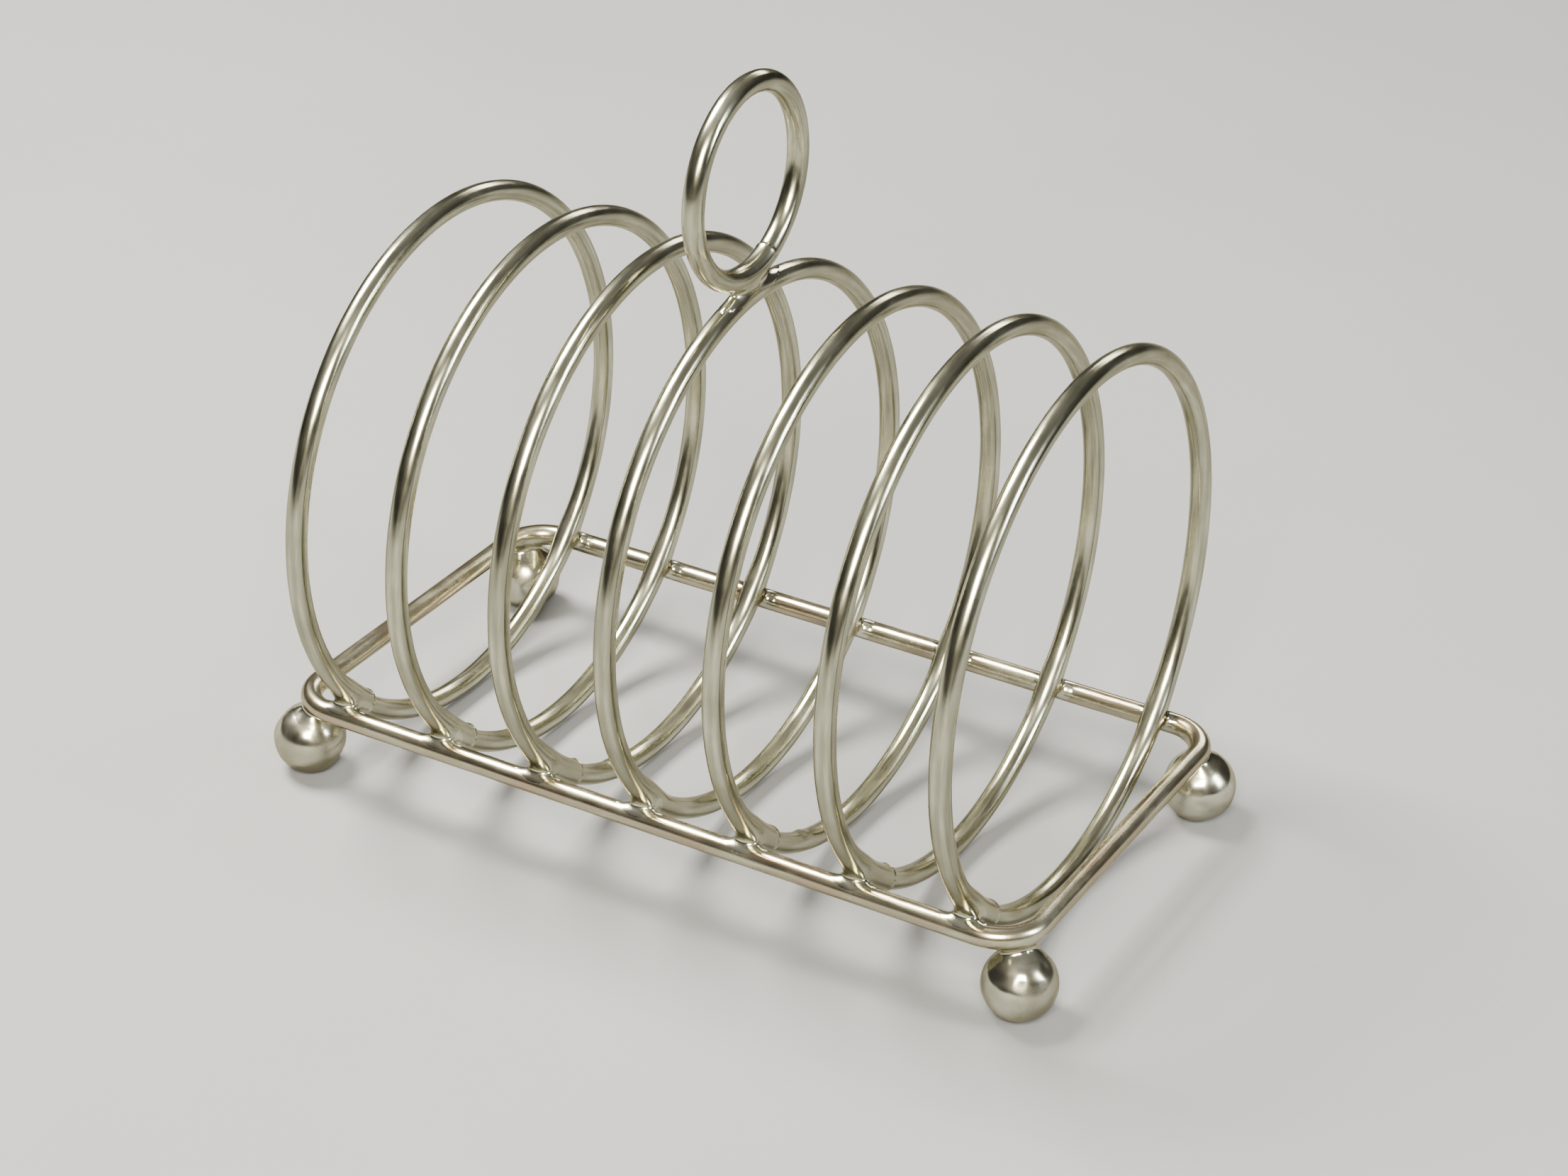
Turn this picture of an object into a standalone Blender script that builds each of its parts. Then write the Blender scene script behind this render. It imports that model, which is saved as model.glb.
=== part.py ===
"""Six-slice toast rack: seven wire hoops on a rectangular wire frame, a ring handle and four ball feet.

Every piece is round silver-plated wire or a turned ball, and silver solder joins them all.
X runs along the row of hoops, Y across it and Z up. The origin is on the table, under the middle hoop.
"""
import math

import bmesh
import bpy
from mathutils import Matrix, Vector

MM = 0.001

# ---- Driving dimensions, in millimetres ----
WIRE_D = 3.25               # 10 SWG wire, used for the hoops, the frame and the handle
HOOP_COUNT = 7
HOOP_R = 41.0               # hoop wire's centre line
HOOP_PITCH = 17.6           # leaves 14.35 mm between hoops for a slice
FRAME_HALF_L = 61.8         # frame wire's centre line, along X
FRAME_HALF_W = 32.35        # frame wire's centre line, along Y
FRAME_CORNER_R = 6.8
FRAME_DROP = 30.6           # frame wire's centre line, below the hoops' centre
HANDLE_R = 14.2             # handle wire's centre line
HANDLE_SHIFT_Y = -3.8       # the handle was soldered a little in front of the hoop's top
BALL_R = 5.55
BALL_X = 61.0
BALL_Y = 29.8
FOOT_FLAT_R = 1.5           # worn flat that each ball rests on
FOOT_GAP = 0.4              # between a ball and the frame wire, filled with solder
JOINT_GAP = 0.28            # between two soldered wires
SOLDER_CLEARANCE = 0.25     # between solder and the pieces it joins

# ---- Solder beads: half sizes of the ellipsoid that each one is cut from ----
HOOP_SOLDER = (2.7, 2.7, 1.7)       # along the rail, along the hoop, across the joint
HANDLE_SOLDER = (1.75, 4.6, 1.6)    # across the wires, along them, up
FOOT_SOLDER = (2.7, 2.7, 1.35)

# ---- Facets ----
WIRE_SIDES = 12
HOOP_STEPS = 48
HANDLE_STEPS = 32
CORNER_STEPS = 5
BALL_SEGMENTS = 20
BALL_RINGS = 12
SOLDER_SEGMENTS = 12
SOLDER_RINGS = 8
SOLDER_FACET_TURN = math.radians(11)    # keeps a bead's facets off the wires' planes of symmetry

# ---- Heights above the table ----
WIRE_R = WIRE_D / 2
BALL_Z = math.sqrt(BALL_R ** 2 - FOOT_FLAT_R ** 2)
FRAME_Z = BALL_Z + BALL_R + FOOT_GAP + WIRE_R
HOOP_Z = FRAME_Z + FRAME_DROP
HANDLE_DISTANCE = HOOP_R + WIRE_D + JOINT_GAP + HANDLE_R    # between the hoop's centre and the handle's
HANDLE_Z = HOOP_Z + math.sqrt(HANDLE_DISTANCE ** 2 - HANDLE_SHIFT_Y ** 2)

HOOP_XS = [(index - (HOOP_COUNT - 1) / 2) * HOOP_PITCH for index in range(HOOP_COUNT)]
SIDES = {"front": -1, "back": 1}
ENDS = {"left": -1, "right": 1}


def clear_scene():
    for old in list(bpy.data.objects):
        bpy.data.objects.remove(old, do_unlink=True)


def make_material(name, color, roughness):
    material = bpy.data.materials.new(name)
    material.use_nodes = True
    shader = material.node_tree.nodes["Principled BSDF"]
    shader.inputs["Base Color"].default_value = (*color, 1.0)
    shader.inputs["Metallic"].default_value = 1.0
    shader.inputs["Roughness"].default_value = roughness
    return material


def add_object(name, mesh_builder, material, location=(0, 0, 0)):
    """Turns a bmesh, in millimetres, into a named smooth-shaded object."""
    bmesh.ops.scale(mesh_builder, vec=(MM, MM, MM), verts=mesh_builder.verts)
    bmesh.ops.recalc_face_normals(mesh_builder, faces=mesh_builder.faces)
    mesh = bpy.data.meshes.new(name)
    mesh_builder.to_mesh(mesh)
    mesh_builder.free()
    mesh.materials.append(material)
    mesh.shade_smooth()
    mesh.set_sharp_from_angle(angle=math.radians(50))
    piece = bpy.data.objects.new(name, mesh)
    piece.location = Vector(location) * MM
    bpy.context.collection.objects.link(piece)
    return piece


# ---- Wire loops ----
def circle_path(radius, steps):
    """Points of a circle in the YZ plane, each with its outward direction."""
    path = []
    for step in range(steps):
        angle = 2 * math.pi * step / steps
        outward = Vector((0, math.sin(angle), math.cos(angle)))
        path.append((outward * radius, outward))
    return path


def rounded_rectangle_path(half_length, half_width, corner_r, steps):
    """Points of a rounded rectangle in the XY plane, each with its outward direction."""
    path = []
    for corner in range(4):
        start = math.pi / 2 * corner
        middle = start + math.pi / 4
        center = Vector((math.copysign(half_length - corner_r, math.cos(middle)),
                         math.copysign(half_width - corner_r, math.sin(middle)), 0))
        for step in range(steps + 1):
            angle = start + math.pi / 2 * step / steps
            outward = Vector((math.cos(angle), math.sin(angle), 0))
            path.append((center + outward * corner_r, outward))
    return path


def sweep_wire(path, plane_normal, radius):
    """A closed loop of round wire along a flat path."""
    builder = bmesh.new()
    rings = []
    for center, outward in path:
        ring = []
        for side in range(WIRE_SIDES):
            angle = 2 * math.pi * side / WIRE_SIDES
            offset = outward * math.cos(angle) + plane_normal * math.sin(angle)
            ring.append(builder.verts.new(center + offset * radius))
        rings.append(ring)
    for here, after in zip(rings, rings[1:] + rings[:1]):
        for side in range(WIRE_SIDES):
            following = (side + 1) % WIRE_SIDES
            builder.faces.new((here[side], here[following], after[following], after[side]))
    return builder


def hoop_mesh(radius):
    return sweep_wire(circle_path(HOOP_R, HOOP_STEPS), Vector((1, 0, 0)), radius)


def handle_mesh(radius):
    return sweep_wire(circle_path(HANDLE_R, HANDLE_STEPS), Vector((1, 0, 0)), radius)


def frame_mesh(radius):
    path = rounded_rectangle_path(FRAME_HALF_L, FRAME_HALF_W, FRAME_CORNER_R, CORNER_STEPS)
    return sweep_wire(path, Vector((0, 0, 1)), radius)


# ---- Ball feet ----
def ball_mesh(radius):
    builder = bmesh.new()
    bmesh.ops.create_uvsphere(builder, u_segments=BALL_SEGMENTS, v_segments=BALL_RINGS, radius=radius)
    return builder


def foot_mesh():
    """A ball with a small worn flat underneath."""
    builder = ball_mesh(BALL_R)
    geometry = builder.verts[:] + builder.edges[:] + builder.faces[:]
    bmesh.ops.bisect_plane(builder, geom=geometry, plane_co=(0, 0, -BALL_Z), plane_no=(0, 0, -1),
                           clear_outer=True)
    rim = [edge for edge in builder.edges if edge.is_boundary]
    bmesh.ops.holes_fill(builder, edges=rim, sides=0)
    return builder


# ---- Solder ----
def solder_mesh(half_sizes, turn):
    """An ellipsoid, turned to lie along its joint."""
    builder = bmesh.new()
    bmesh.ops.create_uvsphere(builder, u_segments=SOLDER_SEGMENTS, v_segments=SOLDER_RINGS, radius=1)
    for axis in "XYZ":
        bmesh.ops.rotate(builder, matrix=Matrix.Rotation(SOLDER_FACET_TURN, 3, axis), verts=builder.verts)
    bmesh.ops.scale(builder, vec=half_sizes, verts=builder.verts)
    bmesh.ops.rotate(builder, matrix=turn, verts=builder.verts)
    return builder


def make_cutter(builder, name, location, material):
    """A hidden solid that keeps the solder clear of the piece it stands for."""
    cutter = add_object(name, builder, material, location)
    cutter.hide_render = True
    cutter.display_type = "WIRE"
    return cutter


def add_solder(name, half_sizes, turn, location, cutters, material):
    bead = add_object(name, solder_mesh(half_sizes, turn), material, location)
    for cutter in cutters:
        cut = bead.modifiers.new("clear_of_" + cutter.name, "BOOLEAN")
        cut.operation = "DIFFERENCE"
        cut.solver = "EXACT"
        cut.object = cutter
    return bead


def build():
    clear_scene()
    silver = make_material("silver_plate", (0.74, 0.70, 0.62), 0.22)
    worn_silver = make_material("worn_silver_plate", (0.72, 0.67, 0.58), 0.27)
    solder = make_material("silver_solder", (0.80, 0.78, 0.72), 0.2)
    grown_wire_r = WIRE_R + SOLDER_CLEARANCE
    no_turn = Matrix.Identity(3)

    add_object("base_frame", frame_mesh(WIRE_R), worn_silver, (0, 0, FRAME_Z))
    frame_cutter = make_cutter(frame_mesh(grown_wire_r), "frame_clearance", (0, 0, FRAME_Z), solder)

    # The joint of a hoop and a rail lies on the line from the hoop's centre to the rail's.
    joint_distance = math.hypot(FRAME_HALF_W, FRAME_DROP)
    joint_middle = (HOOP_R + joint_distance) / 2 / joint_distance
    hoop_cutters = []
    for number, hoop_x in enumerate(HOOP_XS, start=1):
        center = (hoop_x, 0, HOOP_Z)
        add_object(f"hoop_{number}", hoop_mesh(WIRE_R), silver, center)
        hoop_cutter = make_cutter(hoop_mesh(grown_wire_r), f"hoop_{number}_clearance", center, solder)
        hoop_cutters.append(hoop_cutter)
        for side_name, side in SIDES.items():
            joint = (hoop_x, side * FRAME_HALF_W * joint_middle, HOOP_Z - FRAME_DROP * joint_middle)
            lean = math.atan2(side * FRAME_HALF_W, FRAME_DROP)
            add_solder(f"hoop_{number}_solder_{side_name}", HOOP_SOLDER, Matrix.Rotation(lean, 3, "X"),
                       joint, (hoop_cutter, frame_cutter), solder)

    handle_center = (0, HANDLE_SHIFT_Y, HANDLE_Z)
    add_object("ring_handle", handle_mesh(WIRE_R), silver, handle_center)
    handle_cutter = make_cutter(handle_mesh(grown_wire_r), "handle_clearance", handle_center, solder)
    handle_lean = math.asin(HANDLE_SHIFT_Y / HANDLE_DISTANCE)
    joint_r = HOOP_R + WIRE_R + JOINT_GAP / 2
    handle_joint = (0, joint_r * math.sin(handle_lean), HOOP_Z + joint_r * math.cos(handle_lean))
    middle_hoop_cutter = hoop_cutters[HOOP_COUNT // 2]
    add_solder("handle_solder", HANDLE_SOLDER, Matrix.Rotation(-handle_lean, 3, "X"), handle_joint,
               (handle_cutter, middle_hoop_cutter), solder)

    for side_name, side in SIDES.items():
        for end_name, end in ENDS.items():
            foot = f"{side_name}_{end_name}_foot"
            center = Vector((end * BALL_X, side * BALL_Y, BALL_Z))
            add_object(f"{foot}_ball", foot_mesh(), worn_silver, center)
            ball_cutter = make_cutter(ball_mesh(BALL_R + SOLDER_CLEARANCE), f"{foot}_clearance",
                                      center, solder)
            neck = center + Vector((0, 0, BALL_R + FOOT_GAP / 2))
            add_solder(f"{foot}_solder", FOOT_SOLDER, no_turn, neck, (ball_cutter, frame_cutter), solder)


build()
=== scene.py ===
"""Looks of the wire toast rack: aged silver wire, solder that has flowed, and dented ball feet.

Every piece replaces its plain CAD node and takes its place and size from that node's box.
Angles round a hoop or the handle start at its top and grow towards its back.
"""

import math
from types import SimpleNamespace

import bmesh
import bpy
import numpy as np
from mathutils import Matrix, Vector


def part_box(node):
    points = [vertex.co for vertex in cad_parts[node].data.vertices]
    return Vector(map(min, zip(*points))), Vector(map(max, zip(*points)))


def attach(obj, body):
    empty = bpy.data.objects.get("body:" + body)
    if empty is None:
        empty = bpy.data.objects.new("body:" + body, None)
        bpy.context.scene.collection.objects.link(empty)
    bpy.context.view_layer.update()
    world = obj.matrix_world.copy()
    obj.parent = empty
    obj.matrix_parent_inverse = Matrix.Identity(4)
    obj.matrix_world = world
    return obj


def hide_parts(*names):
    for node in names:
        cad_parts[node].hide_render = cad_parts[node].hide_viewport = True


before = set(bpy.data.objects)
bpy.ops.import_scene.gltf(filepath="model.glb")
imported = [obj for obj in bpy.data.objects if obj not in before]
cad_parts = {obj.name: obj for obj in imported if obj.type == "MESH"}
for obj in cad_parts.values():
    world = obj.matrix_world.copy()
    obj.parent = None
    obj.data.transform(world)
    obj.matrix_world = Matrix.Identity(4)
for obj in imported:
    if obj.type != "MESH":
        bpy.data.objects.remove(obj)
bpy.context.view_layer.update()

MM = 0.001
BODY = "root"
HOOP_COUNT = 7
MIDDLE_HOOP = HOOP_COUNT // 2 + 1
SIDES = {"front": -1, "back": 1}
ENDS = {"left": -1, "right": 1}
ACROSS = np.array([1.0, 0, 0])  # along the rails, and across every hoop
UP = np.array([0, 0, 1.0])

# ---- Mesh density ----
WIRE_SIDES = 32
RING_STEPS = 220                # round a hoop or the handle
STEP_RINGS = 40                 # extra rings of vertices where solder ends in a step
STEP_REACH = 1.3 * MM           # how far they go on each side of the step
STEP_GAP = 0.3 * MM             # from the last of them to the ordinary rings
STRAIGHT_STEP = 1.2 * MM
CORNER_RINGS = 16
SOLDER_DETAIL = 5
MARCH_STEPS = 60                # along each ray that looks for solder's skin
BALL_SEGMENTS = 64
BALL_RINGS = 40

# ---- Small faults of hand work ----
CORNER_R = 6.8 * MM             # of the frame's centre line
WIRE_WOBBLE = 0.04 * MM         # how far a wire's centre line wanders
WIRE_THINNING = 0.012           # how much thinner a wire gets in places
WANDER_COUNTS = 2, 3, 5, 8      # waves of wander in one turn of a loop
THINNING_COUNTS = 3, 7, 11
DING_DEPTH = 0.03 * MM          # small hollows left by bending and use
DING_WAVES = 8                  # waves that cross to make the hollows
DINGS_ALONG = 9, 48             # fewest in one turn of a loop, and one past the most
DINGS_AROUND = 1, 4             # the same round the wire
CALM = 5.0 * MM                 # how far from a joint a wire has none of these faults
CALM_FADE = 5.0 * MM            # and how far they take to grow
BALL_DENTS = 44
BALL_DENT = 0.15 * MM           # the deepest one
DENT_DEPTHS = 0.2, 1.0          # as shares of the deepest
DENT_WIDTHS = 0.08, 0.30        # as shares of the ball's radius

# ---- Solder that coats each hoop round its joints ----
FRONT_RUNS = (4.2, 6.2, 9.0, 3.5, 5.9, 9.4, 7.0)    # mm that it runs in from each hoop's front joint
SOFT_RUN = 4                    # the hoop whose run fades out instead of ending in a step
RUN_HEIGHT = 0.55 * MM
OUTSIDE_SHARE = 0.3             # how thick a run is on a hoop's outside, against its inside
STEP_EDGE = 0.10 * MM           # how sharply a run ends
SOFT_EDGE = 1.2 * MM
LIP_SHARE = 0.35                # how far the rounded lip at a step stands above the run
LIP_WIDTH = 0.38 * MM
RUN_FADE = 4.5 * MM             # how a run thins out on its joint's other side
BACK_HEIGHT = 0.35 * MM         # of the soft spread round a back joint
BACK_SPREAD = 4.0 * MM
DROPS = {1: 20, 3: 18, 5: 23}   # degrees from a hoop's bottom, towards the front, to a drop left on it
DROP_HEIGHT = 0.22 * MM
DROP_WIDTH = 0.6 * MM
SEAM_TURN = 25                  # degrees from the handle's bottom to the step at its back
SEAM_HEIGHT = 0.15 * MM

# ---- Solder between the pieces ----
FULL_COAT = 1.0 * MM            # a coat this thick has solder's own colour
SINK = 0.025 * MM               # how deep solder's rim sits under the pieces' skins
HOOP_BLEND = 3.2 * MM           # how widely solder rounds off the corner between two pieces
HANDLE_BLEND = 3.6 * MM
FOOT_BLEND = 3.6 * MM
HOOP_REACH = (4.8 * MM, 4.8 * MM, 2.4 * MM)     # along the rail, along the hoop, from one to the other
HANDLE_REACH = (3.0 * MM, 9.0 * MM, 2.4 * MM)   # across the wires, along them, from one to the other
FOOT_REACH = (6.0 * MM, 6.0 * MM, 5.0 * MM)     # across, back and up
RIPPLE_LENGTH = 0.9 * MM
RIPPLE_HEIGHT = 0.01 * MM

# ---- Seeds of the random faults: a hoop's own seed is its number ----
FRAME_SEED = 31
HANDLE_SEED = 61
HANDLE_SOLDER_SEED = 71
HOOP_SOLDER_SEED = 10           # times the hoop's number
FOOT_SEED = 80
FOOT_SOLDER_SEED = 89
INWARD_SEED, THINNING_SEED, DING_SEED = 50, 100, 150    # added to a wire's seed for each kind of fault

# ---- Metals: tarnished, usual and bright colour, then the range of roughness ----
WIRE_COLORS = (0.255, 0.248, 0.175), (0.365, 0.355, 0.262), (0.54, 0.53, 0.41)
FRAME_COLORS = (0.42, 0.305, 0.215), (0.41, 0.37, 0.26), (0.56, 0.53, 0.40)
BALL_COLORS = (0.32, 0.305, 0.22), (0.43, 0.41, 0.31), (0.60, 0.58, 0.46)
SOLDER_COLORS = (0.35, 0.335, 0.245), (0.49, 0.475, 0.36), (0.67, 0.65, 0.52)
WIRE_ROUGHNESS = 0.14, 0.28
FRAME_ROUGHNESS = 0.17, 0.32
BALL_ROUGHNESS = 0.15, 0.30
SOLDER_ROUGHNESS = 0.13, 0.25
EDGE_TINT = 0.62, 0.58, 0.50    # how metal darkens where it curves out of sight
COLOR_STOPS = 0.34, 0.50, 0.64  # where the patches' noise reaches each colour

# ---- Surface: each noise has a scale, per metre or for streaks per millimetre, and a detail ----
PATCH_NOISE = 110, 3
SMEAR_NOISE = 320, 2
PIT_NOISE = 900, 2
STREAK_NOISE = 1.3, 4
NOISE_MIDDLE = 0.3, 0.7         # nearly all of a noise's values lie between these
PIT_DEPTH = 0.02 * MM
WIRE_PITS = 0.08
CAST_PITS = 0.12                # on balls and solder
STREAK_STRETCH = 0.07, 0.07, 1.0    # long streaks run along the wire
STREAK_DEPTH = 0.09 * MM
WIRE_STREAKS = 0.06
STREAK_SHARE = 0.65             # how far patches and smears follow the streaks

# ---- Floor ----
FLOOR_SIZE = 3.0
FLOOR_COLORS = (0.3, (0.160, 0.163, 0.170)), (0.7, (0.170, 0.173, 0.180))
FLOOR_NOISE = 9, 3
FLOOR_ROUGHNESS = 0.75
FLOOR_SHINE = 0.2

# ---- Studio lights: place, size, watts and colour ----
LIGHT_TARGET = 0, 0, 0.05
LIGHTS = {
    "key_light": ((-0.42, 0.02, 0.72), (0.30, 0.34), 40, (1.0, 0.97, 0.86)),
    "front_light": ((0.36, -0.70, 0.66), (0.38, 0.34), 38, (1.0, 0.945, 0.78)),
    "window_light": ((0.78, 0.10, 0.42), (0.14, 0.30), 8, (0.93, 0.97, 1.0)),
    "back_light": ((-0.10, 0.90, 0.50), (0.45, 0.16), 4, (1.0, 0.96, 0.90)),
}
DOME_COLORS = (0.0, (0.07, 0.07, 0.07)), (0.35, (0.16, 0.16, 0.155)), (1.0, (0.75, 0.74, 0.72))
DOME_STRENGTH = 0.55

# ---- Camera, which looks at the middle hoop's centre before it slides ----
CAMERA_AZIMUTH = math.radians(29.7)     # from straight in front towards the right
CAMERA_ELEVATION = math.radians(29.67)
CAMERA_ROLL = math.radians(1.14)
CAMERA_DISTANCE = 0.5347
SLIDE_RIGHT = 0.00426
SLIDE_DOWN = 0.00693
LENS_IN_WIDTHS = 2.319          # focal length in widths of the sensor
SENSOR_WIDTH = 36
CLIP_START = 0.01

# ---- Arithmetic ----
EXP_LIMIT = 60                  # keeps exponents within what numbers can hold
TINY = 1e-9                     # keeps divisions away from zero


# =============================================================== places read from the frame
def read_ring(node):
    """Centre, centre-line radius and wire radius of a round loop in the YZ plane."""
    low, high = (Vector(corner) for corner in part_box(node))
    wire_r = (high.x - low.x) / 2
    return (low + high) / 2, (high.z - low.z) / 2 - wire_r, wire_r


def read_frame(node):
    """Centre, half length, half width and wire radius of the rounded rectangle."""
    low, high = (Vector(corner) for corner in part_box(node))
    wire_r = (high.z - low.z) / 2
    return (low + high) / 2, (high.x - low.x) / 2 - wire_r, (high.y - low.y) / 2 - wire_r, wire_r


def read_ball(node):
    """Centre and radius of a ball foot, whose underside is worn flat."""
    low, high = (Vector(corner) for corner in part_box(node))
    radius = (high.x - low.x) / 2
    return Vector(((low.x + high.x) / 2, (low.y + high.y) / 2, high.z - radius)), radius


def read_rack():
    """Every place and size that the pieces share."""
    rack = SimpleNamespace()
    rack.frame_center, rack.half_length, rack.half_width, rack.frame_r = read_frame("base_frame")
    rack.frame_skin = frame_distance(rack.frame_center, rack.half_length, rack.half_width, rack.frame_r)
    rack.hoops = {number: read_ring(f"hoop_{number}") for number in range(1, HOOP_COUNT + 1)}
    rack.handle = read_ring("ring_handle")
    rack.feet = {(side, end): read_ball(f"{side}_{end}_foot_ball") for side in SIDES for end in ENDS}
    rack.rail_joints = [(center.x, side * rack.half_width, rack.frame_center.z)
                        for center, _, _ in rack.hoops.values() for side in SIDES.values()]
    rack.foot_joints = [(center.x, center.y, rack.frame_center.z) for center, _ in rack.feet.values()]
    handle_center, handle_radius, _ = rack.handle
    hoop_center, hoop_radius, _ = rack.hoops[MIDDLE_HOOP]
    between = np.array(handle_center - hoop_center)
    rack.to_handle = between / np.linalg.norm(between)
    rack.handle_joint = (np.array(hoop_center) + rack.to_handle * hoop_radius
                         + np.array(handle_center) - rack.to_handle * handle_radius) / 2
    return rack


# =============================================================== small helpers
def add_piece(name, points, faces, metal, node):
    """A smooth mesh piece that stands for one CAD node."""
    material, slot = metal
    mesh = bpy.data.meshes.new(name)
    mesh.from_pydata([tuple(point) for point in points], [], faces)
    mesh.validate()
    mesh.materials.append(material)
    mesh.shade_smooth()
    piece = bpy.data.objects.new(name, mesh)
    bpy.context.collection.objects.link(piece)
    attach(piece, BODY)
    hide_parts(node)
    return piece


def store(piece, name, values):
    """Keeps one number or one vector for each vertex, for the materials to read."""
    values = np.asarray(values, dtype=np.float32)
    kind = "FLOAT_VECTOR" if values.ndim == 2 else "FLOAT"
    field = "vector" if values.ndim == 2 else "value"
    attribute = piece.data.attributes.new(name, kind, "POINT")
    attribute.data.foreach_set(field, values.ravel())


def unit_sphere(create, **detail):
    """Directions and faces of one of bmesh's spheres, with a radius of 1."""
    builder = bmesh.new()
    create(builder, radius=1, **detail)
    directions = np.array([vertex.co for vertex in builder.verts])
    faces = [[vertex.index for vertex in face.verts] for face in builder.faces]
    builder.free()
    return directions, faces


def waves(turn, seed, counts):
    """A smooth closed wander between about -1 and 1 round a loop."""
    rng = np.random.default_rng(seed)
    total = np.zeros_like(turn)
    for count in counts:
        total += rng.uniform(0.4, 1.0) * np.sin(count * turn + rng.uniform(0, 2 * math.pi)) / count ** 0.5
    return total / 2


# =============================================================== paths
def ring_angles(step, radius):
    """Angles round a ring, closer together where its solder ends in a step."""
    near = step + STEP_REACH / radius * np.linspace(-1, 1, STEP_RINGS)
    far = np.linspace(0, 2 * math.pi, RING_STEPS, endpoint=False)
    far = far[np.abs(far - step) > (STEP_REACH + STEP_GAP) / radius]
    return np.sort(np.concatenate([near, far]))


def ring_path(center, radius, angles):
    """Points round a circle in the YZ plane, with their outward directions."""
    outward = np.stack([np.zeros(len(angles)), np.sin(angles), np.cos(angles)], axis=1)
    return np.array(center) + outward * radius, outward


def frame_path(center, half_length, half_width):
    """Points round the rounded rectangle in the XY plane, with their outward directions."""
    points, outward = [], []
    for corner in range(4):
        start = math.pi / 2 * corner
        middle = start + math.pi / 4
        pivot = np.array([math.copysign(half_length - CORNER_R, math.cos(middle)),
                          math.copysign(half_width - CORNER_R, math.sin(middle)), 0])
        for angle in np.linspace(start, start + math.pi / 2, CORNER_RINGS):
            direction = np.array([math.cos(angle), math.sin(angle), 0])
            points.append(pivot + CORNER_R * direction)
            outward.append(direction)
        end = points[-1]
        along = np.array([-outward[-1][1], outward[-1][0], 0])
        straight = 2 * ((half_length if corner % 2 == 0 else half_width) - CORNER_R)
        steps = int(straight / STRAIGHT_STEP)
        for step in range(1, steps):
            points.append(end + along * straight * step / steps)
            outward.append(outward[-1])
    return np.array(center) + np.array(points), np.array(outward)


# =============================================================== solder that coats the rings
def solder_run(past_step, past_joint, height, edge, lip_share):
    """How thick a coat of solder is that starts at a step and thins out past its joint."""
    rise = 1 / (1 + np.exp(np.clip(-past_step / edge, -EXP_LIMIT, EXP_LIMIT)))
    fade = np.exp(-(np.maximum(past_joint, 0) / RUN_FADE) ** 2)
    lip = np.exp(-((past_step - 2 * edge) / LIP_WIDTH) ** 2)
    return height * (rise * fade + lip_share * lip)


def inner_share(cosines):
    """How far round a wire a point is from its ring's outside, which is 0, to its inside, which is 1."""
    return (1 - cosines) / 2


def hoop_coating(number, radius, joint):
    """How thickly solder coats a hoop, and the angle where its front run ends.

    The thickness depends on the angle round the hoop and on the cosine of the angle round the wire,
    which is -1 on the hoop's inside and 1 on its outside. joint is the angle from the bottom to a joint.
    """
    front, back = math.pi + joint, math.pi - joint
    step = front - FRONT_RUNS[number - 1] * MM / radius
    edge, lip_share = (SOFT_EDGE, 0) if number == SOFT_RUN else (STEP_EDGE, LIP_SHARE)

    def coating(angles, cosines):
        inner = inner_share(cosines)
        run = solder_run((angles - step) * radius, (angles - front) * radius, RUN_HEIGHT, edge, lip_share)
        run = run * (OUTSIDE_SHARE + (1 - OUTSIDE_SHARE) * np.sqrt(inner))
        spread = BACK_HEIGHT * np.exp(-((angles - back) * radius / BACK_SPREAD) ** 2) * inner
        if number in DROPS:
            past_drop = (angles - math.pi - math.radians(DROPS[number])) * radius
            spread = spread + DROP_HEIGHT * np.exp(-(past_drop / DROP_WIDTH) ** 2) * inner ** 3
        return run + spread
    return coating, step


def handle_coating(angles, step, radius):
    """How thickly solder coats the inside of the handle, from the step at its back to its bottom."""
    past_step = (angles[:, None] - step) * radius
    past_joint = (angles[:, None] - math.pi) * radius
    run = solder_run(past_step, past_joint, SEAM_HEIGHT, STEP_EDGE, LIP_SHARE)
    return run * inner_share(np.cos(around_wire()))


# =============================================================== wire
def around_wire():
    """Angles round a wire's section, starting on the outside of its loop."""
    return 2 * math.pi * np.arange(WIRE_SIDES) / WIRE_SIDES


def dings(turn, around, seed):
    """Small smooth hollows and rises between -1 and 1 over a wire's skin."""
    rng = np.random.default_rng(seed)
    lengthwise = rng.integers(*DINGS_ALONG, DING_WAVES)
    crosswise = rng.integers(*DINGS_AROUND, DING_WAVES)
    starts = rng.uniform(0, 2 * math.pi, DING_WAVES)
    total = 0
    for along, about, start in zip(lengthwise, crosswise, starts):
        total = total + np.sin(along * turn[:, None] + about * around[None, :] + start)
    return total / DING_WAVES


def calmness(points, joints):
    """0 near a joint and 1 away from all of them, so that solder meets clean wire."""
    share = np.ones(len(points))
    for joint in joints:
        away = np.linalg.norm(points - np.array(joint), axis=1)
        share = share * np.clip((away - CALM) / CALM_FADE, 0, 1)
    return share ** 2 * (3 - 2 * share)


def loop_faces(count):
    """The faces between neighbouring rings of a closed loop."""
    faces = []
    for ring in range(count):
        this, following = ring * WIRE_SIDES, (ring + 1) % count * WIRE_SIDES
        for side in range(WIRE_SIDES):
            beside = (side + 1) % WIRE_SIDES
            faces.append((this + side, this + beside, following + beside, following + side))
    return faces


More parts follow.
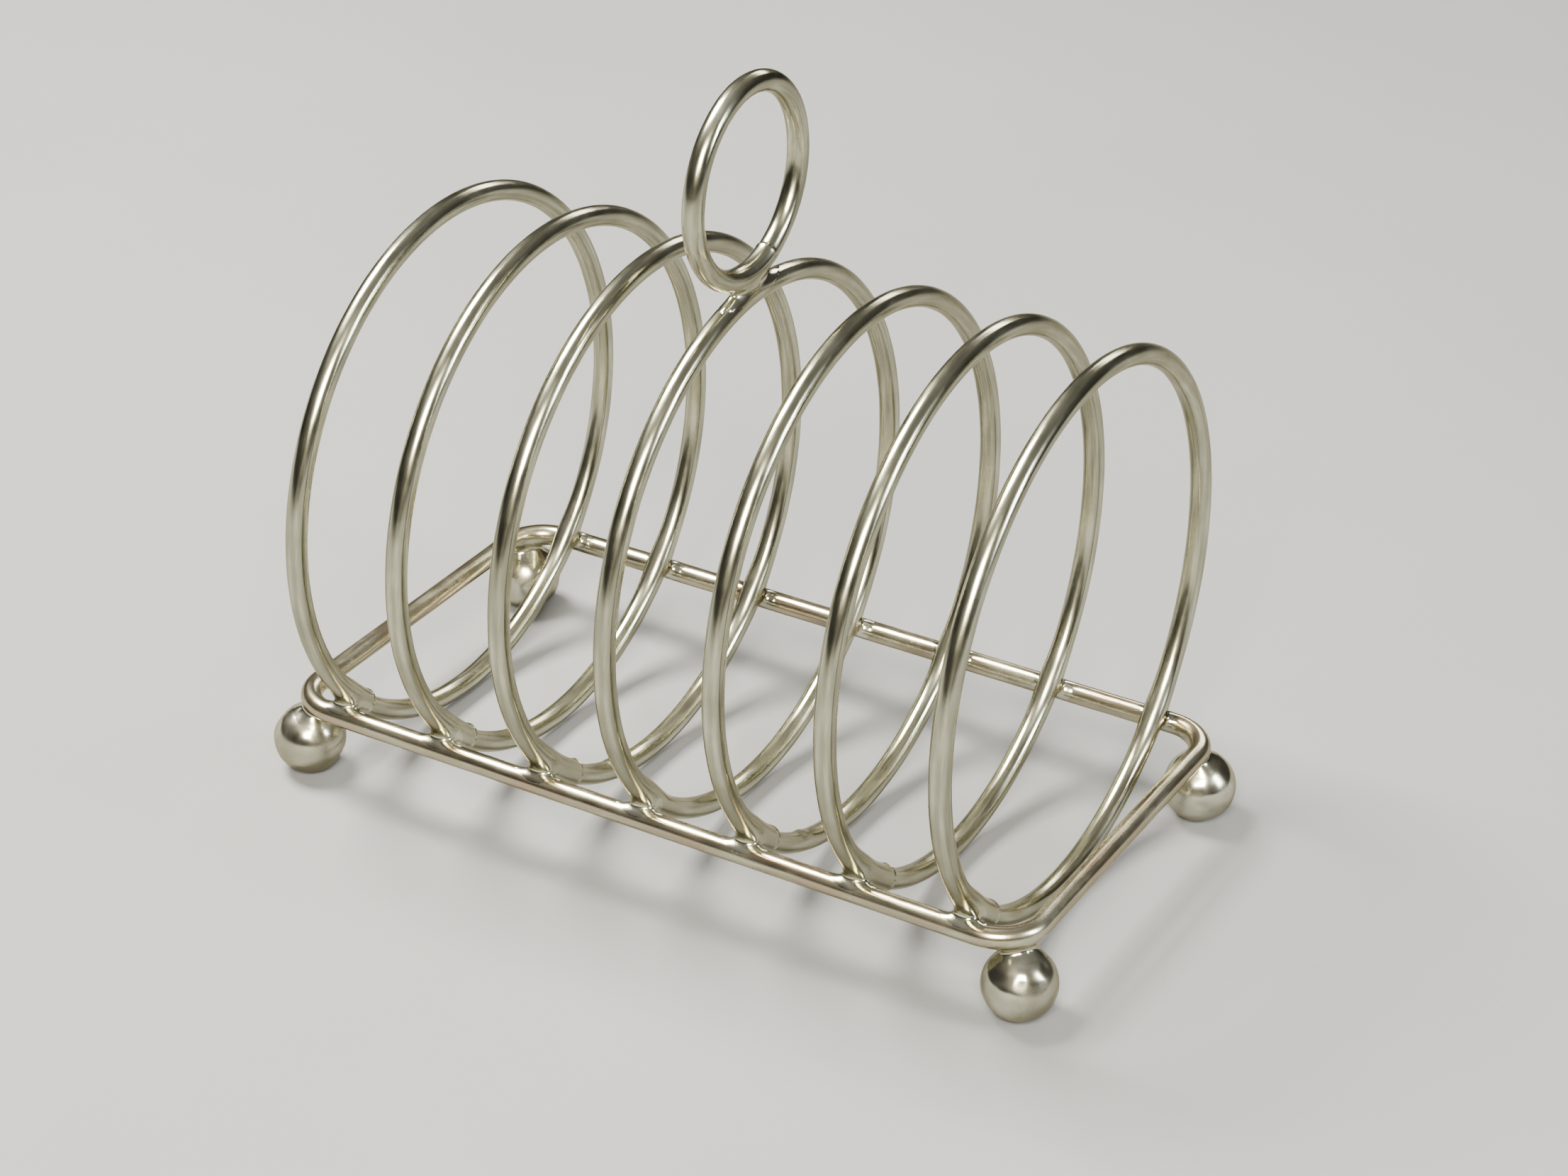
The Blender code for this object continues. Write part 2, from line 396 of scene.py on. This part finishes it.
def wire_loop(name, path, normal, wire_r, seed, metal, node, joints, coating=0):
    """A closed loop of round wire that wanders and thins a little, as drawn wire does.

    normal is square to the loop's plane, joints are the places where it is soldered, and coating is
    how thick the solder is on each vertex.
    """
    points, outward = path
    count = len(points)
    steps = np.linalg.norm(np.roll(points, -1, axis=0) - points, axis=1)
    length = steps.sum()
    turn = 2 * math.pi * np.concatenate([[0], np.cumsum(steps)[:-1]]) / length
    around = around_wire()
    share = calmness(points, joints)
    sideways = share * waves(turn, seed, WANDER_COUNTS)
    inward = share * (1 + waves(turn, seed + INWARD_SEED, WANDER_COUNTS)) / 2
    center = points + WIRE_WOBBLE * (sideways[:, None] * normal - inward[:, None] * outward)
    thinning = WIRE_THINNING * share * (1 + waves(turn, seed + THINNING_SEED, THINNING_COUNTS)) / 2
    hollows = DING_DEPTH * share[:, None] * (1 + dings(turn, around, seed + DING_SEED)) / 2
    radii = wire_r * (1 - thinning)[:, None] - hollows + coating
    section = outward[:, None] * np.cos(around)[None, :, None] + normal * np.sin(around)[None, :, None]
    vertices = (center[:, None] + section * radii[:, :, None]).reshape(-1, 3)
    piece = add_piece(name, vertices, loop_faces(count), metal, node)

    # A seamless place for the streaks: a circle as long as the loop, and the two ways across the wire.
    circle = np.stack([np.cos(turn), np.sin(turn)], axis=1) * length / (2 * math.pi)
    circle = np.repeat(circle, WIRE_SIDES, axis=0)
    from_inside = np.tile(np.cos(around), count)[:, None] * wire_r
    store(piece, "wire_place", np.concatenate([circle, from_inside], axis=1) / MM)
    store(piece, "wire_turn", np.tile(np.sin(around), count) * wire_r / MM)
    store(piece, "solder_share", np.clip(coating * np.ones(radii.shape) / FULL_COAT, 0, 1).ravel())


# =============================================================== solder between the pieces
def ring_distance(center, radius, wire_r, coating=None):
    """Distance from a round loop of wire in the YZ plane, with the solder that coats it."""
    def distance(points):
        offset = points - np.array(center)
        off_line = np.hypot(offset[:, 1], offset[:, 2]) - radius
        from_line = np.hypot(off_line, offset[:, 0])
        if coating is None:
            return from_line - wire_r
        angles = np.arctan2(offset[:, 1], offset[:, 2]) % (2 * math.pi)
        return from_line - wire_r - coating(angles, off_line / np.maximum(from_line, TINY))
    return distance


def frame_distance(center, half_length, half_width, wire_r):
    """Distance from the rounded rectangle of wire."""
    def distance(points):
        offset = points - np.array(center)
        corner = np.abs(offset[:, :2]) - np.array([half_length - CORNER_R, half_width - CORNER_R])
        outside = np.linalg.norm(np.maximum(corner, 0), axis=1)
        off_line = outside + np.minimum(corner.max(axis=1), 0) - CORNER_R
        return np.hypot(off_line, offset[:, 2]) - wire_r
    return distance


def ball_distance(center, radius, dents):
    """Distance from a ball with dents."""
    def distance(points):
        offset = points - np.array(center)
        from_center = np.linalg.norm(offset, axis=1)
        return from_center - radius + dents(offset / np.maximum(from_center, TINY)[:, None])
    return distance


def blended(first, second, blend):
    """Distance from two shapes that flow into each other over the blend's width."""
    def distance(points):
        near, far = first(points), second(points)
        overlap = np.maximum(blend - np.abs(near - far), 0) / blend
        return np.minimum(near, far) - overlap ** 3 * blend / 6
    return distance


def skin_shares(start, rays, shape, offset):
    """How far along each ray the shape's skin lies, as a share of the ray, or 1 if it ends inside.

    offset is how much deeper than its skin each ray stops.
    """
    shares = np.ones(len(rays))
    found = np.zeros(len(rays), dtype=bool)
    before = np.full(len(rays), -1.0)
    for step in range(1, MARCH_STEPS + 1):
        depth = shape(np.array(start) + rays * step / MARCH_STEPS) + offset
        crossing = (depth > 0) & ~found
        fraction = before[crossing] / (before[crossing] - depth[crossing])
        shares[crossing] = (step - 1 + np.clip(fraction, 0, 1)) / MARCH_STEPS
        found |= crossing
        before = np.where(found, before, np.minimum(depth, -TINY))
    return shares


def solder_flow(name, middle, axes, reach, shape, seed, metal, node):
    """Solder between two pieces: a ball of rays from the joint's middle, each cut at the shape's skin.

    axes are the joint's three directions, and reach is how far the solder goes along each of them.
    """
    directions, faces = unit_sphere(bmesh.ops.create_icosphere, subdivisions=SOLDER_DETAIL)
    stretched = directions * np.array(reach)
    rays = stretched @ np.array(axes)
    starts = np.random.default_rng(seed).uniform(0, 2 * math.pi, 3)
    ripple = RIPPLE_HEIGHT * np.sin(stretched / RIPPLE_LENGTH + starts).prod(axis=1)
    shares = skin_shares(middle, rays, shape, SINK + ripple)
    add_piece(name, np.array(middle) + rays * shares[:, None], faces, metal, node)


# =============================================================== balls
def ball_dents(seed):
    """How deep a ball's dents are in each direction from its centre."""
    rng = np.random.default_rng(seed)
    spots = rng.normal(size=(BALL_DENTS, 3))
    spots /= np.linalg.norm(spots, axis=1)[:, None]
    widths = rng.uniform(*DENT_WIDTHS, BALL_DENTS)
    depths = rng.uniform(*DENT_DEPTHS, BALL_DENTS) * BALL_DENT

    def dents(directions):
        total = 0
        for spot, width, depth in zip(spots, widths, depths):
            apart = np.linalg.norm(directions - spot, axis=1)
            total = total + depth * np.exp(-(apart / width) ** 2)
        return total
    return dents


def dented_ball(name, center, radius, dents, metal, node):
    """A turned ball with a small worn flat where it stands."""
    directions, faces = unit_sphere(bmesh.ops.create_uvsphere, u_segments=BALL_SEGMENTS,
                                    v_segments=BALL_RINGS)
    vertices = np.array(center) + directions * (radius - dents(directions))[:, None]
    vertices[:, 2] = np.maximum(vertices[:, 2], 0)
    add_piece(name, vertices, faces, metal, node)


# =============================================================== materials
def new_material(name):
    """A material with what is needed to wire it: its nodes, links and shader."""
    material = bpy.data.materials.new(name)
    material.use_nodes = True
    nodes, links = material.node_tree.nodes, material.node_tree.links
    shader = nodes["Principled BSDF"]
    return material, nodes, links, shader


def ramp_node(nodes, stops):
    """A colour ramp from (position, colour) pairs."""
    ramp = nodes.new("ShaderNodeValToRGB")
    while len(ramp.color_ramp.elements) < len(stops):
        ramp.color_ramp.elements.new(0.5)
    for element, (position, color) in zip(ramp.color_ramp.elements, stops):
        element.position = position
        element.color = (*color, 1)
    return ramp


def noise(nodes, links, vector, scale, detail, fourth=None):
    """Noise over a place, which can have a fourth coordinate."""
    node = nodes.new("ShaderNodeTexNoise")
    if fourth is not None:
        node.noise_dimensions = "4D"
        links.new(fourth, node.inputs["W"])
    node.inputs["Scale"].default_value = scale
    node.inputs["Detail"].default_value = detail
    links.new(vector, node.inputs["Vector"])
    return node.outputs["Fac"]


def stored(nodes, name, output):
    """What wire_loop stored on each vertex under a name."""
    attribute = nodes.new("ShaderNodeAttribute")
    attribute.attribute_name = name
    return attribute.outputs[output]


def mapped(nodes, links, value, low, high):
    """Stretches a noise's middle range to the range from low to high."""
    spread = nodes.new("ShaderNodeMapRange")
    spread.inputs["From Min"].default_value = NOISE_MIDDLE[0]
    spread.inputs["From Max"].default_value = NOISE_MIDDLE[1]
    spread.inputs["To Min"].default_value = low
    spread.inputs["To Max"].default_value = high
    links.new(value, spread.inputs["Value"])
    return spread.outputs["Result"]


def mixed(nodes, links, first, second, share):
    """A number between two others."""
    mix = nodes.new("ShaderNodeMix")
    mix.inputs["Factor"].default_value = share
    links.new(first, mix.inputs["A"])
    links.new(second, mix.inputs["B"])
    return mix.outputs["Result"]


def bump(nodes, links, height, strength, distance, normal=None):
    """A normal tilted by a height, on top of another bump's normal if one is given."""
    node = nodes.new("ShaderNodeBump")
    node.inputs["Strength"].default_value = strength
    node.inputs["Distance"].default_value = distance
    links.new(height, node.inputs["Height"])
    if normal is not None:
        links.new(normal, node.inputs["Normal"])
    return node.outputs["Normal"]


def drawn_streaks(nodes, links):
    """Noise stretched along a wire, with no seam."""
    stretch = nodes.new("ShaderNodeVectorMath")
    stretch.operation = "MULTIPLY"
    stretch.inputs[1].default_value = STREAK_STRETCH
    links.new(stored(nodes, "wire_place", "Vector"), stretch.inputs[0])
    across_wire = stored(nodes, "wire_turn", "Fac")
    return noise(nodes, links, stretch.outputs["Vector"], *STREAK_NOISE, across_wire)


def solder_coated(nodes, links, color):
    """A colour that turns into solder's where a wire has a coat of it."""
    coated = nodes.new("ShaderNodeMix")
    coated.data_type = "RGBA"
    links.new(stored(nodes, "solder_share", "Fac"), coated.inputs["Factor"])
    links.new(color, coated.inputs["A"])
    coated.inputs["B"].default_value = (*SOLDER_COLORS[1], 1)
    return coated.outputs["Result"]


def silver(name, colors, roughness, pit_strength, streak_strength=0):
    """Aged silver: worn, tarnished and bright patches, tiny pits and, on wire, drawn streaks."""
    material, nodes, links, shader = new_material(name)
    place = nodes.new("ShaderNodeTexCoord").outputs["Object"]
    patches = noise(nodes, links, place, *PATCH_NOISE)
    smears = noise(nodes, links, place, *SMEAR_NOISE)
    pits = noise(nodes, links, place, *PIT_NOISE)
    normal = bump(nodes, links, pits, pit_strength, PIT_DEPTH)
    if streak_strength:
        streaks = drawn_streaks(nodes, links)
        normal = bump(nodes, links, streaks, streak_strength, STREAK_DEPTH, normal)
        patches = mixed(nodes, links, patches, streaks, STREAK_SHARE)
        smears = mixed(nodes, links, smears, streaks, STREAK_SHARE)
    tint = ramp_node(nodes, tuple(zip(COLOR_STOPS, colors)))
    links.new(patches, tint.inputs["Fac"])
    color = tint.outputs["Color"]
    if streak_strength:
        color = solder_coated(nodes, links, color)
    links.new(color, shader.inputs["Base Color"])
    links.new(mapped(nodes, links, smears, *roughness), shader.inputs["Roughness"])
    links.new(normal, shader.inputs["Normal"])
    shader.inputs["Metallic"].default_value = 1.0
    shader.inputs["Specular Tint"].default_value = (*EDGE_TINT, 1)
    return material


def floor_material():
    """Plain pale matte floor with the faintest mottling."""
    material, nodes, links, shader = new_material("floor_paint")
    place = nodes.new("ShaderNodeTexCoord").outputs["Object"]
    tint = ramp_node(nodes, FLOOR_COLORS)
    links.new(noise(nodes, links, place, *FLOOR_NOISE), tint.inputs["Fac"])
    links.new(tint.outputs["Color"], shader.inputs["Base Color"])
    shader.inputs["Roughness"].default_value = FLOOR_ROUGHNESS
    shader.inputs["Specular IOR Level"].default_value = FLOOR_SHINE
    return material


def make_metals():
    """Each metal's material, with the slot that the record names for it."""
    return SimpleNamespace(
        wire=(silver("silver_plate", WIRE_COLORS, WIRE_ROUGHNESS, WIRE_PITS, WIRE_STREAKS),
              "silver_plate"),
        worn_wire=(silver("worn_silver_plate", FRAME_COLORS, FRAME_ROUGHNESS, WIRE_PITS, WIRE_STREAKS),
                   "worn_silver_plate"),
        ball=(silver("ball_silver_plate", BALL_COLORS, BALL_ROUGHNESS, CAST_PITS), "worn_silver_plate"),
        solder=(silver("silver_solder", SOLDER_COLORS, SOLDER_ROUGHNESS, CAST_PITS), "silver_solder"))


# =============================================================== the rack
def build_frame(rack, metals):
    """The closed loop of wire that carries the hoops and stands on the feet."""
    path = frame_path(rack.frame_center, rack.half_length, rack.half_width)
    wire_loop("frame_wire", path, UP, rack.frame_r, FRAME_SEED, metals.worn_wire, "base_frame",
              rack.rail_joints + rack.foot_joints)


def build_hoop(rack, metals, number):
    """One hoop, with the solder that joins it to the frame's front and back rails."""
    center, radius, wire_r = rack.hoops[number]
    joint = math.atan2(rack.half_width, center.z - rack.frame_center.z)
    coating, step = hoop_coating(number, radius, joint)
    angles = ring_angles(step, radius)
    wire_loop(f"hoop_wire_{number}", ring_path(center, radius, angles), ACROSS, wire_r, number,
              metals.wire, f"hoop_{number}", rack.rail_joints + [rack.handle_joint],
              coating(angles[:, None], np.cos(around_wire())[None, :]))
    shape = blended(ring_distance(center, radius, wire_r, coating), rack.frame_skin, HOOP_BLEND)
    for side_name, side in SIDES.items():
        to_rail = np.array([center.x, side * rack.half_width, rack.frame_center.z]) - np.array(center)
        distance = np.linalg.norm(to_rail)
        outward = to_rail / distance
        middle = np.array(center) + outward * (radius + distance) / 2
        solder_flow(f"hoop_solder_{number}_{side_name}", middle, (ACROSS, np.cross(ACROSS, outward), outward),
                    HOOP_REACH, shape, HOOP_SOLDER_SEED * number + side, metals.solder,
                    f"hoop_{number}_solder_{side_name}")


def build_handle(rack, metals):
    """The ring on top, with the solder that joins it to the middle hoop."""
    center, radius, wire_r = rack.handle
    step = math.pi - math.radians(SEAM_TURN)
    angles = ring_angles(step, radius)
    wire_loop("handle_ring", ring_path(center, radius, angles), ACROSS, wire_r, HANDLE_SEED, metals.wire,
              "ring_handle", [rack.handle_joint], handle_coating(angles, step, radius))
    shape = blended(ring_distance(center, radius, wire_r), ring_distance(*rack.hoops[MIDDLE_HOOP]),
                    HANDLE_BLEND)
    axes = ACROSS, np.cross(rack.to_handle, ACROSS), rack.to_handle
    solder_flow("handle_solder_flow", rack.handle_joint, axes, HANDLE_REACH, shape, HANDLE_SOLDER_SEED,
                metals.solder, "handle_solder")


def build_foot(rack, metals, side_name, end_name):
    """One ball, with the neck of solder that joins it to the frame's corner."""
    foot = f"{side_name}_{end_name}_foot"
    center, radius = rack.feet[side_name, end_name]
    place = 2 * SIDES[side_name] + ENDS[end_name]
    dents = ball_dents(FOOT_SEED + place)
    dented_ball(f"{foot}_sphere", center, radius, dents, metals.ball, f"{foot}_ball")
    ball_top = center + Vector((0, 0, radius))
    wire_bottom = Vector((center.x, center.y, rack.frame_center.z - rack.frame_r))
    shape = blended(ball_distance(center, radius, dents), rack.frame_skin, FOOT_BLEND)
    solder_flow(f"{foot}_solder_flow", (ball_top + wire_bottom) / 2, np.eye(3), FOOT_REACH, shape,
                FOOT_SOLDER_SEED + place, metals.solder, f"{foot}_solder")


def build_rack():
    metals = make_metals()
    rack = read_rack()
    build_frame(rack, metals)
    for number in rack.hoops:
        build_hoop(rack, metals, number)
    build_handle(rack, metals)
    for side_name, end_name in rack.feet:
        build_foot(rack, metals, side_name, end_name)


# =============================================================== stage, light and camera
def build_stage():
    """A wide plain floor."""
    builder = bmesh.new()
    bmesh.ops.create_grid(builder, x_segments=2, y_segments=2, size=FLOOR_SIZE)
    mesh = bpy.data.meshes.new("floor")
    builder.to_mesh(mesh)
    builder.free()
    mesh.materials.append(floor_material())
    floor = bpy.data.objects.new("floor", mesh)
    bpy.context.collection.objects.link(floor)


def add_light(name, place, size, watts, color):
    """A soft rectangular light that faces the rack."""
    data = bpy.data.lights.new(name, "AREA")
    data.shape = "RECTANGLE"
    data.size, data.size_y = size
    data.energy = watts
    data.color = color
    light = bpy.data.objects.new(name, data)
    light.location = place
    light.rotation_euler = (Vector(LIGHT_TARGET) - Vector(place)).to_track_quat("-Z", "Y").to_euler()
    bpy.context.collection.objects.link(light)


def build_lights():
    for name, settings in LIGHTS.items():
        add_light(name, *settings)


def build_dome():
    """Dim light from all round, brightest overhead."""
    world = bpy.data.worlds.new("studio")
    bpy.context.scene.world = world
    world.use_nodes = True
    nodes, links = world.node_tree.nodes, world.node_tree.links
    direction = nodes.new("ShaderNodeTexCoord").outputs["Generated"]
    split = nodes.new("ShaderNodeSeparateXYZ")
    links.new(direction, split.inputs["Vector"])
    dome = ramp_node(nodes, DOME_COLORS)
    links.new(split.outputs["Z"], dome.inputs["Fac"])
    background = nodes["Background"]
    links.new(dome.outputs["Color"], background.inputs["Color"])
    background.inputs["Strength"].default_value = DOME_STRENGTH


def build_camera():
    """Looks down at the rack from the front right corner."""
    level = math.cos(CAMERA_ELEVATION)
    back = Vector((math.sin(CAMERA_AZIMUTH) * level, -math.cos(CAMERA_AZIMUTH) * level,
                   math.sin(CAMERA_ELEVATION)))
    level_right = Vector((math.cos(CAMERA_AZIMUTH), math.sin(CAMERA_AZIMUTH), 0))
    level_up = back.cross(level_right)
    right = math.cos(CAMERA_ROLL) * level_right + math.sin(CAMERA_ROLL) * level_up
    up = -math.sin(CAMERA_ROLL) * level_right + math.cos(CAMERA_ROLL) * level_up
    hoop_center, _, _ = read_ring(f"hoop_{MIDDLE_HOOP}")
    place = hoop_center + CAMERA_DISTANCE * back + SLIDE_RIGHT * right - SLIDE_DOWN * up
    data = bpy.data.cameras.new("camera")
    data.sensor_width = SENSOR_WIDTH
    data.lens = SENSOR_WIDTH * LENS_IN_WIDTHS
    data.clip_start = CLIP_START
    camera = bpy.data.objects.new("camera", data)
    rotation = Matrix((right, up, back)).transposed()
    camera.matrix_world = Matrix.Translation(place) @ rotation.to_4x4()
    bpy.context.collection.objects.link(camera)
    bpy.context.scene.camera = camera


build_rack()
build_stage()
build_lights()
build_dome()
build_camera()
